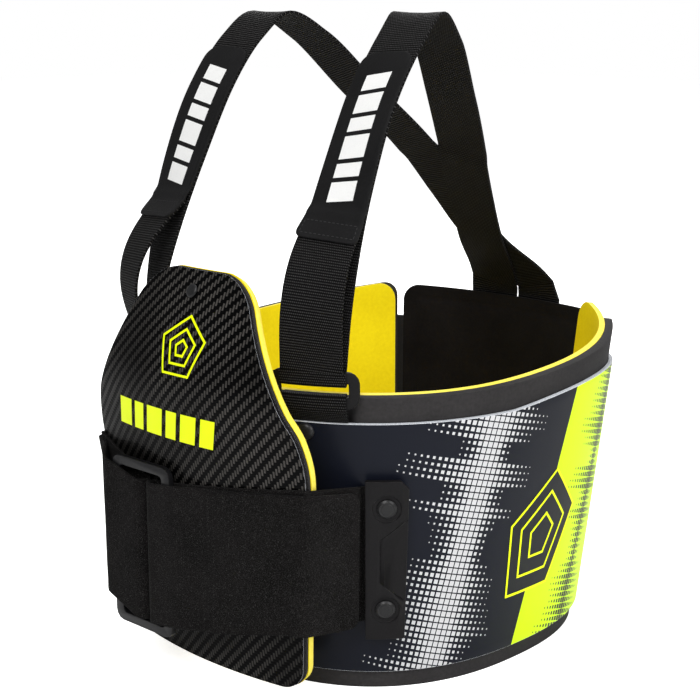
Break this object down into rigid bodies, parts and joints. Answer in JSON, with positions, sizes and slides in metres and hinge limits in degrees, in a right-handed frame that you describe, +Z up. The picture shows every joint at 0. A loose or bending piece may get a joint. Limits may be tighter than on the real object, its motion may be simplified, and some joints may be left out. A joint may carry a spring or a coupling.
{
  "type": "karting rib protector",
  "caption": "Rib protector worn round the chest: foam-lined stiff side shells, a chest plate under wide elastic straps with a buckle, and crossed shoulder straps.",
  "frame": {"origin": "centre of the wearer's chest: on the axis of the ring of shells, half way up the shells", "axes": "+Z up along the wearer's body, -Y to the wearer's front, +X to the wearer's left"},
  "size_m": [0.3006, 0.3599, 0.428],
  "materials": {
    "carbon": "clear-coated twill composite",
    "printed_shell": "satin print with pale halftone and neon yellow, silver grey cut edge",
    "black_foam": "matt closed-cell foam",
    "yellow_foam": "matt closed-cell foam",
    "dark_plastic": "fine moulded grain",
    "buckle_plastic": "satin moulded",
    "webbing": "ribbed woven webbing",
    "elastic": "matt brushed elastic",
    "black_cloth": "matt knitted cloth"
  },
  "bodies": {
    "root": {"front_plate": "carbon", "front_foam": "black_foam", "front_liner": "yellow_foam", "plate_rivet": "dark_plastic", "left_shell": "printed_shell", "right_shell": "printed_shell", "left_foam": "black_foam", "right_foam": "black_foam", "left_liner": "yellow_foam", "right_liner": "yellow_foam", "back_panel": "black_cloth", "left_strap_plate": "dark_plastic", "right_strap_plate": "dark_plastic", "left_strap_rivet_top": "dark_plastic", "left_strap_rivet_low": "dark_plastic", "right_strap_rivet_top": "dark_plastic", "right_strap_rivet_low": "dark_plastic", "left_dome_rivet": "dark_plastic", "right_dome_rivet": "dark_plastic", "left_elastic": "elastic", "right_elastic": "elastic", "buckle": "buckle_plastic", "left_slide": "dark_plastic", "right_slide": "dark_plastic", "left_slide_loop": "webbing", "right_slide_loop": "webbing", "left_shoulder_strap": "webbing", "right_shoulder_strap": "webbing", "left_strap_tab": "black_cloth", "right_strap_tab": "black_cloth"}
  },
  "joints": []
}
